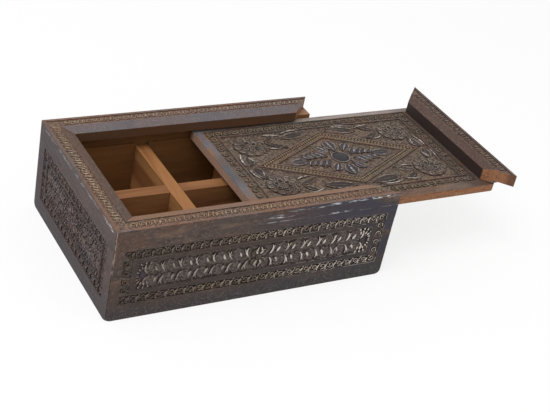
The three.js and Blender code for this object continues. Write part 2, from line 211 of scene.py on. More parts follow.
def along_grain(tree, axis, length, width, detail=4.0, distortion=0.0):
    """Noise in streaks of this length and width, in millimetres, that lie along one axis of the object."""
    position = add(tree, "ShaderNodeTexCoord").outputs["Object"]
    scale = [1000 / (length if letter == axis else width) for letter in "xyz"]
    mapping = add(tree, "ShaderNodeMapping", {"Vector": position, "Scale": scale})
    noise = {"Vector": mapping.outputs[0], "Scale": 1.0, "Detail": detail, "Distortion": distortion}
    return add(tree, "ShaderNodeTexNoise", noise).outputs["Fac"]


def fade(tree, value, none, full):
    """A soft mask that is 0 up to one value and 1 from the other."""
    limits = {"Value": value, "From Min": none, "From Max": full}
    return add(tree, "ShaderNodeMapRange", limits, interpolation_type="SMOOTHSTEP").outputs[0]


def patches(tree, axis, length, width, none, full, detail=4.0, distortion=0.0):
    """A mask of patches of this length and width along the grain."""
    return fade(tree, along_grain(tree, axis, length, width, detail, distortion), none, full)


def both(tree, first, second):
    """A mask that shows only where two masks do."""
    return add(tree, "ShaderNodeMath", {0: first, 1: second}, operation="MULTIPLY").outputs[0]


def inside(tree, value, low, high, soft=0.001):
    """A mask that shows where a value lies between two limits."""
    return both(tree, fade(tree, value, low, low + soft), fade(tree, value, high, high - soft))


def linear(hex_colour):
    """Turns an sRGB hex colour to the linear values that Blender's nodes take."""
    channels = [int(hex_colour[i : i + 2], 16) / 255 for i in (1, 3, 5)]
    return [c / 12.92 if c <= 0.04045 else ((c + 0.055) / 1.055) ** 2.4 for c in channels] + [1.0]


def blend(tree, share, *paints):
    """The colour between two paints, each a hex colour or a pattern, by the share of the second."""
    first, second = (linear(paint) if isinstance(paint, str) else paint for paint in paints)
    return add(tree, "ShaderNodeMix", {0: share, 6: first, 7: second}, data_type="RGBA").outputs[2]


def lay(tree, colour, mask, amount, paint):
    """Lays a paint over a colour where the mask is 1."""
    return blend(tree, both(tree, mask, amount), colour, paint)


def reach_along(tree, direction):
    """How far a point lies along a direction, in metres."""
    position = add(tree, "ShaderNodeTexCoord").outputs["Object"]
    reach = add(tree, "ShaderNodeVectorMath", {0: position, 1: direction}, operation="DOT_PRODUCT")
    return reach.outputs["Value"]


def depth_below(tree, outward, plane):
    """How far a point lies inside the plane that faces this way, in metres."""
    reach = reach_along(tree, outward)
    return add(tree, "ShaderNodeMath", {0: plane, 1: reach}, operation="SUBTRACT").outputs[0]


def facing(tree, direction):
    """How squarely a face looks this way, from -1 to 1."""
    normal = add(tree, "ShaderNodeNewGeometry").outputs["True Normal"]
    squareness = add(tree, "ShaderNodeVectorMath", {0: normal, 1: direction}, operation="DOT_PRODUCT")
    return squareness.outputs["Value"]


def worn_arris(tree, axis):
    """A mask of the arrises of a solid, in the broken stretches where hands have rubbed them."""
    rounded = add(tree, "ShaderNodeBevel", {"Radius": arris_radius}, samples=6).outputs[0]
    normal = add(tree, "ShaderNodeNewGeometry").outputs["Normal"]
    level = add(tree, "ShaderNodeVectorMath", {0: rounded, 1: normal}, operation="DOT_PRODUCT")
    arris = fade(tree, level.outputs["Value"], 0.985, 0.85)
    return both(tree, arris, patches(tree, axis, 9, 4, 0.42, 0.58))


def recess_shade(tree, distance):
    """A mask of corners and cuts, by how little of the open surroundings they see: for painted shade,
    together with the dirt that packs into them.
    """
    open_share = add(tree, "ShaderNodeAmbientOcclusion", {"Distance": distance}, samples=6).outputs["AO"]
    return fade(tree, open_share, 0.75, 0.3)


def old_stain(tree, axis, brown, grey, blue_share=0.3, dusting=1.0):
    """Colour of stained, waxed and dusty hardwood, and the value of its fibres."""
    colour = blend(tree, patches(tree, axis, 70, 24, 0.42, 0.6, 3.0), brown, grey)
    colour = lay(tree, colour, patches(tree, axis, 40, 14, 0.55, 0.68, 4.0, 0.4), blue_share, navy)
    # Real fibres are some 0.2 mm wide and the pores 2 mm long, too fine to show, so both are drawn coarser.
    fibres = along_grain(tree, axis, 26, 1.3, 5.0, 0.3)
    colour = lay(tree, colour, fade(tree, fibres, 0.5, 0.75), 0.3, deep_stain_and_shade)
    colour = lay(tree, colour, patches(tree, axis, 12, 6, 0.52, 0.72, 5.0, 0.3), 0.45, deep_stain_and_shade)
    colour = lay(tree, colour, patches(tree, axis, 35, 12, 0.56, 0.72, 5.0, 0.3), 0.35, worn_wood)
    pores = along_grain(tree, axis, 2.6, 1.6, 3.0)
    colour = lay(tree, colour, fade(tree, pores, 0.5, 0.34), 0.3, deep_stain_and_shade)
    colour = lay(tree, colour, fade(tree, pores, 0.54, 0.72), 0.16 * dusting, dust)
    return colour, fibres


def blued(tree, colour, axis, dusty_end, grime):
    """Lays old blue-black stain in broad patches towards the end that is handled most."""
    handled = fade(tree, reach_along(tree, dusty_end), handled_from, handled_to)
    broad = patches(tree, axis, 55, 22, 0.36, 0.52, 3.0, 0.5)
    return lay(tree, colour, both(tree, handled, broad), 0.8 - grime, blue_black)


def chipped(tree, colour, worn_corner):
    """Chips the stain off an upright corner, except near its foot."""
    corner = fade(tree, depth_below(tree, *worn_corner), 0.0018, 0.0004)
    above_foot = fade(tree, reach_along(tree, (0, 0, 1)), 0.035, 0.06)
    chips = both(tree, patches(tree, "z", 9, 2.4, 0.44, 0.58), above_foot)
    return lay(tree, colour, both(tree, corner, chips), 0.7, chipped_wood)


def gouged(tree, axis, mask, paints, amount):
    """Tool marks about 2 mm wide where the ground was cut away: their height, and the dirt packed in them."""
    marks = along_grain(tree, axis, 2.6, 2)
    dirt = blend(tree, fade(tree, marks, 0.36, 0.66), *paints)
    return both(tree, marks, both(tree, mask, amount)), dirt


def satin_finish(tree, out, colour, fibres, smooth, dull, tool_marks=0.0, fibre_depth=0.1, softness=0.4):
    """Ends a wood material: fibres as bump, soft arrises and a rubbed wax sheen. Sizes are in millimetres."""
    height = add(tree, "ShaderNodeMath", {0: fibres, 1: tool_marks}, operation="ADD").outputs[0]
    soft = add(tree, "ShaderNodeBevel", {"Radius": softness / 1000}, samples=4).outputs[0]
    relief = {"Strength": 0.8, "Distance": fibre_depth / 1000, "Height": height, "Normal": soft}
    bump = add(tree, "ShaderNodeBump", relief).outputs[0]
    sheen = {"Value": height, "To Min": smooth, "To Max": dull}
    roughness = add(tree, "ShaderNodeMapRange", sheen).outputs[0]
    coat = {"Base Color": colour, "Roughness": roughness, "Normal": bump, "IOR": wax_ior}
    tree.links.new(add(tree, "ShaderNodeBsdfPrincipled", coat).outputs[0], out.inputs["Surface"])


def wall_material(name, axis, outward, plane, dusty_end, worn_corner, panel, grime):
    """Stained and waxed hardwood outside, darkest in the carved ground, and bare wood on the inner faces.

    The eye takes it for a dull, hand-rubbed wax with chalky wear at the end where the lid draws out.
    """
    material, tree, out = new_material(name)
    colour, fibres = old_stain(tree, axis, umber, ash_grey, 0.12 + 1.2 * grime)
    colour = blued(tree, colour, axis, dusty_end, grime)
    height = reach_along(tree, (0, 0, 1))
    # The walls are painted darker towards the bottom.
    colour = lay(tree, colour, fade(tree, height, 0.085, 0.01), 0.4, towards_foot_dark)
    foot = fade(tree, height, 0.02, 0.005)
    colour = lay(tree, colour, foot, 0.75, foot_stain)
    speckle = patches(tree, axis, 1.7, 1.3, 0.5, 0.66, 2.0)
    colour = lay(tree, colour, both(tree, foot, speckle), 0.14, foot_dust)
    across = add(tree, "ShaderNodeMath", {0: reach_along(tree, dusty_end)}, operation="ABSOLUTE").outputs[0]
    half, low, high = (value / 1000 for value in panel)
    framed = both(tree, inside(tree, height, low, high), fade(tree, across, half, half - 0.001))
    colour = lay(tree, colour, framed, 0.55, panel_stain)
    # Painted shade and purple grime: each end wall is darkened all over by its own share, the left wall most.
    colour = blend(tree, grime, colour, end_grime_and_shade)
    depth = depth_below(tree, outward, plane)
    ground = fade(tree, depth, carving_depth * 0.1, carving_depth * 0.45)
    tool_marks, packed_dirt = gouged(tree, axis, ground, ground_dirt, 2.5)
    colour = lay(tree, colour, ground, 0.9, packed_dirt)
    in_open = add(tree, "ShaderNodeMapRange", {"Value": ground, "To Min": 1.0, "To Max": 0.5}).outputs[0]
    # Painted shade and packed dirt in corners and cuts, at half strength in the carved ground.
    colour = lay(tree, colour, both(tree, recess_shade(tree, 0.0015), in_open), 0.7, deep_stain_and_shade)
    handled = fade(tree, reach_along(tree, dusty_end), handled_from, handled_to)
    clean = 1 - 2 * grime
    dusted = {"Value": handled, "To Min": 0.2 * clean, "To Max": 0.9 * clean}
    dusted = add(tree, "ShaderNodeMapRange", dusted).outputs[0]
    colour = lay(tree, colour, worn_arris(tree, axis), dusted, blend(tree, handled, worn_wood, wall_chalk))
    colour = chipped(tree, colour, worn_corner)
    bare = blend(tree, along_grain(tree, axis, 60, 6), inner_dark, inner_brown)
    upwards = fade(tree, facing(tree, (0, 0, 1)), 0.4, 0.6)
    free_end = fade(tree, reach_along(tree, (1, 0, 0)), bare_end, bare_end + 0.005)
    bare = lay(tree, bare, both(tree, upwards, free_end), 0.9, end_grain_brown)
    inwards = fade(tree, facing(tree, [-value for value in outward]), 0.4, 0.6)
    inwards = add(tree, "ShaderNodeMath", {0: inwards, 1: upwards}, operation="MAXIMUM").outputs[0]
    behind_face = fade(tree, depth, carving_depth * 1.3, carving_depth * 1.6)
    colour = lay(tree, colour, inwards, behind_face, bare)
    satin_finish(tree, out, colour, fibres, 0.42, 0.7, tool_marks)
    return material


def dress(name, material):
    """Gives a construction piece its finish."""
    nodes[name].data.materials.clear()
    nodes[name].data.materials.append(material)


front_plane = -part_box("front_wall")[0][1]
left_plane = -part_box("left_wall")[0][0]
front_side, rear_side = ((0, -1, 0), front_plane), ((0, 1, 0), front_plane)
left_side = ((-1, 0, 0), left_plane)
frame_band = 9.5
long_field = {"half": 139.5, "low": 17, "high": 76, "strip": 5}
end_field = {"half": 82.2, "low": 17, "high": 76, "strip": 1.2}
low_field = {"half": 82.2, "low": 17, "high": 65, "strip": 1.2}

# Each wall's outward side and plane, the way to its dusty end, and its worn corner, carved field, and grime
# with painted shade.
outer_faces = {
    "front_wall": (*front_side, (1, 0, 0), left_side, long_field, 0.0),
    "rear_wall": (*rear_side, (-1, 0, 0), left_side, long_field, 0.0),
    "left_wall": (*left_side, (0, 1, 0), front_side, end_field, 0.42),
    "right_wall": ((1, 0, 0), left_plane, (0, -1, 0), rear_side, low_field, 0.2),
}
for wall, (outward, plane, dusty_end, worn_corner, field, grime) in outer_faces.items():
    axis = "x" if outward[1] else "y"
    panel = (field["half"] - frame_band, field["low"] + frame_band, field["high"] - frame_band)
    face = (outward, plane, dusty_end, worn_corner, panel, grime)
    dress(wall, wall_material(f"stained_{wall}", axis, *face))


# Carving on the walls: leaves and curls left standing when the ground round them was cut away by hand.
# Each has raised edges with a hollow between, and the ridges are pale with worn dust and a painted highlight,
# while the ground stayed dark.
# One set of motifs is laid out on marks, as a carver works from a few patterns. Marks are in millimetres.
motif_foot = -0.12
hollow_height = 0.55
leaf_stations = (0.05, 0.2, 0.4, 0.6, 0.8, 0.95)
quarter = math.pi / 2
turn_slip = math.radians(5)
size_slip = 0.08

# A leaf's section from its right edge to its left: where each line of it lies across the leaf at the base,
# where at the tip, and how high it stands at the base and at the tip.
leaf_section = [
    (-0.95, -0.95, 0.9, 0.9), (-0.85, -0.85, 1, 1), (-0.68, -0.68, 0.56, 0.56), (-0.14, -0.14, 0.56, 0.56),
    (0, 0, 0.85, 0.78),
    (0.14, 0.14, 0.56, 0.56), (0.68, 0.68, 0.56, 0.56), (0.85, 0.85, 1, 1), (0.95, 0.95, 0.9, 0.9),
]
petal_section = [
    (-0.95, -0.95, 0.88, 0.88), (-0.86, -0.86, 0.96, 0.96), (-0.72, -0.72, 0.56, 0.56),
    (-0.1, -0.3, 0.56, 0.56),
    (-0.04, -0.12, 0.95, 1), (0.04, 0.12, 0.95, 1),
    (0.1, 0.3, 0.56, 0.56), (0.72, 0.72, 0.56, 0.56), (0.86, 0.86, 0.96, 0.96), (0.95, 0.95, 0.88, 0.88),
]
stroke_section = [(-0.75, -0.75, 0.9, 0.9), (0, 0, 1, 1), (0.75, 0.75, 0.9, 0.9)]


def motif(name, points, faces, crests=None):
    """One motif, one unit high, kept out of the scene until the carving tree picks it."""
    mesh = bpy.data.meshes.new(name)
    mesh.from_pydata(points, [], faces)
    along = mesh.attributes.new("along", "FLOAT", "POINT")
    crest = mesh.attributes.new("crest", "FLOAT", "POINT")
    for index, (x, _, z) in enumerate(points):
        along.data[index].value = x
        crest.data[index].value = crests[index] if crests else max(z, 0)
    mesh.shade_smooth()
    piece = bpy.data.objects.new(name, mesh)
    motifs.objects.link(piece)


def leaf_motif(name, section, tip_power):
    """A leaf or petal, one unit long and wide, blunter at the tip where the power is higher."""
    points = [(0, 0, motif_foot)]
    for along in leaf_stations:
        half = 0.5 * math.sin(math.pi * along**tip_power)
        rise = min(1, 0.6 + 2.4 * along * (1 - along))
        points.append((along, -half, motif_foot))
        for base_place, tip_place, base_height, tip_height in section:
            across = base_place + (tip_place - base_place) * along
            height = max(hollow_height, base_height + (tip_height - base_height) * along)
            points.append((along, across * half, min(1, height * rise)))
        points.append((along, half, motif_foot))
    points.append((1, 0, motif_foot))
    row = len(section) + 2
    last = 1 + (len(leaf_stations) - 1) * row
    faces = []
    for side in range(row - 1):
        faces.append((0, 1 + side, 2 + side))
        faces.append((last + side, len(points) - 1, last + side + 1))
        for start in range(1, last, row):
            faces.append((start + side, start + row + side, start + row + side + 1, start + side + 1))
    left = [start + row - 1 for start in range(1, last + 1, row)]
    right = [start for start in range(last, 0, -row)]
    faces.append((0, *left, len(points) - 1, *right))
    motif(name, points, faces)


def ringed_motif(name, rings, sides):
    """Rings of radius, height, shift, lean and paleness, from the foot inwards, closed at both ends."""
    points, crests = [], []
    for radius, height, shift, lean, pale in rings:
        for side in range(sides):
            angle = 2 * math.pi * side / sides
            rise = height * (1 - lean + lean * math.cos(angle)) if height > 0 else height
            points.append((radius * math.cos(angle) + shift, radius * math.sin(angle), rise))
            crests.append(pale)
    faces = [tuple(reversed(range(sides))), tuple(range(len(points) - sides, len(points)))]
    for start in range(0, len(points) - sides, sides):
        for side in range(sides):
            here, following = start + side, start + (side + 1) % sides
            faces.append((here, following, following + sides, here + sides))
    motif(name, points, faces, crests)


def curl_motif(name, turns, stations, outer, inner, half_width):
    """A ridge that curls inwards like a comma, thickest where it starts, round a dark middle."""
    points, crests = [], []
    for station in range(stations):
        share = station / (stations - 1)
        angle = 2 * math.pi * turns * share - 0.6
        radius = outer + (inner - outer) * share
        swell = half_width * (1 - 0.35 * share)
        ridge = ((radius - swell, motif_foot), (radius, 1 - 0.25 * share), (radius + swell, motif_foot))
        points += [(reach * math.cos(angle), reach * math.sin(angle), height) for reach, height in ridge]
        crests += [0.35, 1, 0.35]
    faces = [(0, 2, 1), (len(points) - 3, len(points) - 2, len(points) - 1)]
    for start in range(0, len(points) - 3, 3):
        for side, following in ((0, 1), (1, 2), (2, 0)):
            faces.append((start + side, start + following, start + following + 3, start + side + 3))
    motif(name, points, faces, crests)


motifs = bpy.data.collections.new("carving_motifs")
leaf_motif("motif_0_leaf", leaf_section, 0.85)
leaf_motif("motif_1_petal", petal_section, 1.4)
leaf_motif("motif_2_stroke", stroke_section, 0.85)
cell_rings = [
    (0.5, motif_foot, 0, 0, 0), (0.42, 1, 0, 0.25, 1), (0.34, 0.8, -0.02, 0.25, 0.75),
    (0.22, 0.05, -0.04, 0, 0.3),
]
ringed_motif("motif_3_cell", cell_rings, 12)
curl_motif("motif_4_curl", 1.25, 13, 0.37, 0.1, 0.13)
bead_rings = [(0.5, motif_foot, 0, 0, 0), (0.4, 0.7, 0, 0, 0.75), (0.16, 1, 0, 0, 1)]
ringed_motif("motif_5_bead", bead_rings, 8)
boss_rings = [
    (0.5, motif_foot, 0, 0, 0.3), (0.47, 0.7, 0, 0, 0.85), (0.43, 0.7, 0, 0, 0.85), (0.4, 0.1, 0, 0, 0.2),
    (0.36, 0.2, 0, 0, 0.2), (0.34, 0.75, 0, 0, 0.3), (0.12, 1, 0, 0, 0.3),
]
ringed_motif("motif_6_boss", boss_rings, 16)
dome_rings = [(0.5, motif_foot, 0, 0, 0.3), (0.42, 0.45, 0, 0, 0.4), (0.2, 0.7, 0, 0, 0.4)]
ringed_motif("motif_7_dome", dome_rings, 12)
LEAF, PETAL, STROKE, CELL, CURL, BEAD, BOSS, DOME = range(8)


def carving_tree():
    """Sets a motif on every mark, bends it, lays the sheet of carving on its face and gives it its finish."""
    tree = bpy.data.node_groups.new("carving", "GeometryNodeTree")
    sockets = [
        ("Marks", "NodeSocketGeometry"), ("Motifs", "NodeSocketCollection"), ("Turn Slip", "NodeSocketFloat"),
        ("Size Slip", "NodeSocketFloat"), ("Seed", "NodeSocketInt"), ("Place", "NodeSocketVector"),
        ("Facing", "NodeSocketVector"), ("Finish", "NodeSocketMaterial"),
    ]
    for name, kind in sockets:
        tree.interface.new_socket(name, in_out="INPUT", socket_type=kind)
    tree.interface.new_socket("Carving", in_out="OUTPUT", socket_type="NodeSocketGeometry")
    given = add(tree, "NodeGroupInput").outputs

    def read(name, kind="FLOAT"):
        named = add(tree, "GeometryNodeInputNamedAttribute", {"Name": name}, data_type=kind)
        return named.outputs["Attribute"]

    def reckon(operation, first, second):
        return add(tree, "ShaderNodeMath", {0: first, 1: second}, operation=operation).outputs[0]

    def chance(low, high, seed_step):
        seed = reckon("ADD", given["Seed"], seed_step)
        return add(tree, "FunctionNodeRandomValue", {2: low, 3: high, "Seed": seed}).outputs[1]

    slip = chance(reckon("MULTIPLY", given["Turn Slip"], -1.0), given["Turn Slip"], 0)
    turned = reckon("ADD", read("turn"), reckon("MULTIPLY", slip, read("loose")))
    marks = add(tree, "GeometryNodeStoreNamedAttribute", {
        "Geometry": given["Marks"], "Name": "turn", "Value": turned,
    }, data_type="FLOAT", domain="POINT").outputs[0]
    grown = chance(reckon("SUBTRACT", 1.0, given["Size Slip"]), reckon("ADD", 1.0, given["Size Slip"]), 1)
    size = {0: read("span", "FLOAT_VECTOR"), "Scale": grown}
    size = add(tree, "ShaderNodeVectorMath", size, operation="SCALE").outputs[0]
    picked = add(tree, "GeometryNodeCollectionInfo", {
        "Collection": given["Motifs"], "Separate Children": True, "Reset Children": True,
    }).outputs[0]
    upright = add(tree, "ShaderNodeCombineXYZ", {"Z": read("turn")}).outputs[0]
    placed = add(tree, "GeometryNodeInstanceOnPoints", {
        "Points": marks, "Instance": picked, "Pick Instance": True, "Instance Index": read("kind", "INT"),
        "Rotation": upright, "Scale": size,
    }).outputs[0]
    toned = add(tree, "GeometryNodeStoreNamedAttribute", {
        "Geometry": placed, "Name": "tone", "Value": chance(0.0, 1.0, 2),
    }, data_type="FLOAT", domain="INSTANCE").outputs[0]
    real = add(tree, "GeometryNodeRealizeInstances", {"Geometry": toned}).outputs[0]
    along = read("along")
    squared = reckon("MULTIPLY", along, along)
    sag = reckon("MULTIPLY", squared, read("bend"))
    swell = reckon("MULTIPLY", reckon("SUBTRACT", along, squared), read("belly"))
    sideways = add(tree, "ShaderNodeCombineXYZ", {"Y": reckon("ADD", sag, swell)}).outputs[0]
    pushed = {"Vector": sideways, "Angle": read("turn")}
    pushed = add(tree, "ShaderNodeVectorRotate", pushed, rotation_type="Z_AXIS").outputs[0]
    bent = add(tree, "GeometryNodeSetPosition", {"Geometry": real, "Offset": pushed}).outputs[0]
    laid = add(tree, "GeometryNodeTransform", {
        "Geometry": bent, "Translation": given["Place"], "Rotation": given["Facing"],
    }).outputs[0]
    done = add(tree, "GeometryNodeSetMaterial", {"Geometry": laid, "Material": given["Finish"]}).outputs[0]
    add(tree, "NodeGroupOutput", {"Carving": done})
    return tree


carving = carving_tree()


def carve(name, marks, material, body, slot, place, facing_turn, seed):
    """Carves the marks, given in millimetres on the face's plan, as one piece of mesh on a body."""
    sheet = bpy.data.meshes.new(f"{name}_marks")
    sheet.from_pydata([(m["x"] / 1000, m["y"] / 1000, 0) for m in marks], [], [])
    spans = sheet.attributes.new("span", "FLOAT_VECTOR", "POINT").data
    for index, m in enumerate(marks):
        spans[index].vector = [m[key] / 1000 for key in ("length", "width", "relief")]
    fields = [("kind", "INT", 1), ("turn", "FLOAT", 1), ("loose", "FLOAT", 1)]
    fields += [("bend", "FLOAT", 1000), ("belly", "FLOAT", 250)]
    for field, kind, unit in fields:
        values = sheet.attributes.new(field, kind, "POINT").data
        for index, m in enumerate(marks):
            values[index].value = m[field] if unit == 1 else m[field] / unit
    guide = bpy.data.objects.new(f"{name}_guide", sheet)
    bpy.context.scene.collection.objects.link(guide)
    modifier = guide.modifiers.new("carving", "NODES")
    modifier.node_group = carving
    chosen = {
        "Motifs": motifs, "Turn Slip": turn_slip, "Size Slip": size_slip, "Seed": seed,
        "Place": place, "Facing": facing_turn, "Finish": material,
    }
    for item in carving.interface.items_tree:
        if item.in_out == "INPUT" and item.name in chosen:
            modifier[item.identifier] = chosen[item.name]
    bpy.context.view_layer.update()
    evaluated = guide.evaluated_get(bpy.context.evaluated_depsgraph_get())
    mesh = bpy.data.meshes.new_from_object(evaluated)
    bpy.data.objects.remove(guide)
    piece = bpy.data.objects.new(name, mesh)
    bpy.context.scene.collection.objects.link(piece)
    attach(piece, body)


def mark(kind, x, y, turn, length, width, relief, bend=0, belly=0, loose=1):
    """Where a motif goes, in millimetres, how far its tip and middle bend, and how loosely it is set."""
    return {
        "kind": kind, "x": x, "y": y, "turn": turn, "length": length, "width": width, "relief": relief,
        "bend": bend, "belly": belly, "loose": loose,
    }


def spaced(start, end, pitch):
    """Even places from start to end, as near to the pitch as they fit."""
    count = max(1, round(abs(end - start) / pitch))
    return [start + (end - start) * index / count for index in range(count + 1)]


def curls_round(half_x, low, high, pitch, size, relief, loose):
    """Curls all round a rectangle, turned outwards."""
    places = []
    for x in spaced(-half_x, half_x, pitch):
        places += [(x, low, -quarter), (x, high, quarter)]
    for y in spaced(low, high, pitch)[1:-1]:
        places += [(-half_x, y, math.pi), (half_x, y, 0)]
    return [mark(CURL, *place, size, size, relief, loose=loose) for place in places]


def carved_material(name, axis, brown, grey, ridge, amount, hollow, gaps=0.4, olive=0.5, dusty_end=None):
    """Carved hardwood: dark in the hollows, stained on the slopes, and pale on the ridges with rubbed dust
    and a painted highlight.

    Some motifs are paler than others, by their own tone, which gives the eye the unevenness of hand work.
    """
    material, tree, out = new_material(name)
    colour, fibres = old_stain(tree, axis, brown, grey, 0.3, 0.7)
    crest = add(tree, "ShaderNodeAttribute", attribute_name="crest").outputs["Fac"]
    tone = add(tree, "ShaderNodeAttribute", attribute_name="tone").outputs["Fac"]
    colour = lay(tree, colour, fade(tree, crest, 0.85, 0.5), 0.85, hollow)
    colour = lay(tree, colour, patches(tree, axis, 2.2, 1.6, 0.56, 0.68, 3.0), 0.4, deep_stain_and_shade)
    unbroken = patches(tree, axis, 2.8, 1.8, gaps - 0.1, gaps + 0.1, 3.0)
    broad = {"Value": patches(tree, axis, 40, 18, 0.3, 0.55, 3.0), "To Min": 0.55, "To Max": 1.0}
    broad = add(tree, "ShaderNodeMapRange", broad).outputs[0]
    # Pale ridges: rubbed dust together with a painted highlight of the waxed sheen.
    rubbed_and_highlit = both(tree, fade(tree, crest, 0.7, 0.9), both(tree, unbroken, broad))
    worn = {"Value": tone, "To Min": amount * 0.6, "To Max": amount}
    share = add(tree, "ShaderNodeMapRange", worn).outputs[0]
    powder_and_highlight = lay(tree, ridge, patches(tree, axis, 35, 12, 0.45, 0.6, 3.0, 0.4), olive, olive_dust)
    if dusty_end:
        reach = reach_along(tree, dusty_end)
        dusted = {"Value": reach, "From Min": -0.13, "From Max": 0.13, "To Min": 0.3, "To Max": 2.8}
        share = both(tree, share, add(tree, "ShaderNodeMapRange", dusted).outputs[0])
        powder_and_highlight = lay(tree, powder_and_highlight, fade(tree, reach, 0.0, 0.12), 0.85, wall_chalk)
    share = add(tree, "ShaderNodeMath", {0: share, 1: 1.0}, operation="MINIMUM").outputs[0]
    colour = lay(tree, colour, rubbed_and_highlit, share, powder_and_highlight)
    # Painted shade and packed dirt in the corners and cuts of the carving.
    colour = lay(tree, colour, recess_shade(tree, 0.0014), 0.6, deep_stain_and_shade)
    tool_marks = both(tree, along_grain(tree, axis, 1.8, 1.3, 3.0), 1.6)
    satin_finish(tree, out, colour, fibres, 0.42, 0.66, tool_marks, 0.12, 0.2)
    return material


olive_dust = "#a39068"
wall_relief = 1.9
end_relief = 1.3
frame_pitch = 9.5
curl_looseness = 7
link_turn = 1.1
frame_link = {"back": 1.4, "down": 3.25, "length": 6.5, "width": 2.2, "belly": 1.2}
long_garland = {"start": 22.5, "pitch": 17.2, "end": 15}
end_garland = {"start": 25, "pitch": 11.5, "end": 8}
garland_leaf = {"length": 16, "width": 7.4, "bend": -2.4, "lean": 0.75}

# The strokes of one pair of garland leaves, from the leaf's foot: the long curved outer edge, the short fat
# midrib, and a fine inner edge.
leaf_strokes = [
    {"x": 4.6, "y": 1.0, "lean": 0.16, "length": 13, "width": 2.1, "belly": 3.2},
    {"x": -4.4, "y": 2.8, "lean": 0.45, "length": 7.6, "width": 2.8, "belly": 0.5},
    {"x": -7.6, "y": 5.5, "lean": 0.3, "length": 7, "width": 1.3, "belly": -0.8},
]
long_flower = {"petals": 4, "inner": 2.6, "length": 8.6, "width": 6, "boss": 2.6}
end_flower = {"petals": 8, "inner": 4.6, "length": 11, "width": 6.6, "boss": 4.4}
grit_size = 4.4
grit_pitch = 4.2
grit_inset = 2.4
grit_relief = 1.5
grit_looseness = 30
frame_bead = 2.4
frame_bead_inset = 1.4
end_oval = {"inset": 7, "length": 8, "width": 11}
ray_turns = (0.1, 0.45, 0.8, 1.15, 1.5, 1.85)
ray_rings = ((7.2, 4.6), (11.8, 4.2))
ray_width = 1.9


def leaf_garland(half, middle, start, pitch, end):
    """Pairs of leaves above and below a middle line, leaning away from the middle of the field."""
    marks = []
    reach = start
    lean, bend = garland_leaf["lean"], garland_leaf["bend"]
    sizes = (garland_leaf["length"], garland_leaf["width"], end_relief)
    while reach <= half - end:
        for side in (-1, 1):
            for row in (-1, 1):
                turn = math.atan2(row * math.cos(lean), side * math.sin(lean))
                marks.append(mark(LEAF, side * reach, middle + row, turn, *sizes, side * row * bend))
        reach += pitch
    return marks


def stroked_garland(half, middle, start, pitch, end):
    """The broad leaves of the long fields, of which only the cut strokes stand clear of the worn ground."""
    marks = []
    reach = start - pitch
    while reach <= half - end:
        for side in (-1, 1):
            for row in (-1, 1):
                for stroke in leaf_strokes:
                    turn = math.atan2(row * math.cos(stroke["lean"]), side * math.sin(stroke["lean"]))
                    place = (side * (reach + stroke["x"]), middle + row * stroke["y"], turn)
                    sizes = (stroke["length"], stroke["width"], wall_relief, 0, -side * row * stroke["belly"])
                    marks.append(mark(STROKE, *place, *sizes))
        reach += pitch
    return marks


def flower(x, y, petals, inner, length, width, boss, relief):
    """Petals round a boss."""
    marks = [mark(BOSS, x, y, 0, 2 * boss, 2 * boss, relief)]
    for index in range(petals):
        turn = 2 * math.pi * (index + 0.5) / petals
        place = (x + inner * math.cos(turn), y + inner * math.sin(turn), turn)
        marks.append(mark(LEAF, *place, length, width, relief))
    return marks


def field_end(half, middle):
    """A dark oval at each end of a long field, with short rays cut round it."""
    marks = []
    for side in (-1, 1):
        x = side * (half - end_oval["inset"])
        marks.append(mark(DOME, x, middle, 0, end_oval["length"], end_oval["width"], wall_relief))
        for row in (-1, 1):
            for turn in ray_turns:
                ray = math.atan2(row * math.sin(turn), side * math.cos(turn))
                for reach, length in ray_rings:
                    if reach * math.cos(turn) < end_oval["inset"] + 2:
                        place = (x - side * 2 + reach * math.cos(ray), middle + reach * math.sin(ray), ray)
                        marks.append(mark(STROKE, *place, length, ray_width, wall_relief))
    return marks


def link(x, y, relief, back, down, length, width, belly):
    """A slanted stroke that fills the gap between two curls of a row."""
    return mark(STROKE, x - back, y - down, link_turn, length, width, relief * 0.9, 0, belly)


def panel_frame(field, flower_sizes, is_long):
    """A row of curls round a panel, with strokes and beads between, and the worn flower of a long panel."""
    half, low, high = (field[key] for key in ("half", "low", "high"))
    inset = frame_band / 2
    row = (half - inset, low + inset, high - inset, frame_pitch)
    marks = curls_round(*row, frame_band * 0.94, wall_relief, curl_looseness)
    for x in spaced(inset - half, half - inset, frame_pitch)[:-1]:
        link_x = x + frame_pitch / 2
        for y in (low + inset, high - inset):
            marks.append(link(link_x, y, wall_relief, **frame_link))
            for side in (-1, 1):
                place = (link_x + side * frame_bead / 2, y + side * (inset - frame_bead_inset), 0)
                marks.append(mark(BEAD, *place, frame_bead, frame_bead, wall_relief))
    if is_long:
        marks += flower(0, (low + high) / 2, relief=wall_relief, **flower_sizes)
    return marks


def panel_field(field, flower_sizes, garland_sizes, is_long):
    """What fills a panel inside its frame: strokes on a long one, else a flower, leaves and packed curls."""
    half, low, high, strip = (field[key] for key in ("half", "low", "high", "strip"))
    middle = (low + high) / 2
    field_half = half - frame_band - strip
    if is_long:
        return stroked_garland(field_half, middle, **garland_sizes) + field_end(field_half, middle)
    marks = leaf_garland(field_half, middle, **garland_sizes)
    marks += flower(0, middle, relief=wall_relief, **flower_sizes)
    first_row, last_row = low + frame_band + strip + grit_inset, high - frame_band - strip - grit_inset
    for row, y in enumerate(spaced(first_row, last_row, grit_pitch * 0.87)):
        for x in spaced(grit_inset - field_half, field_half - grit_inset - grit_pitch / 2, grit_pitch):
            place = (x + row % 2 * grit_pitch / 2, y, 0)
            marks.append(mark(CURL, *place, grit_size, grit_size, grit_relief, loose=grit_looseness))
    return marks
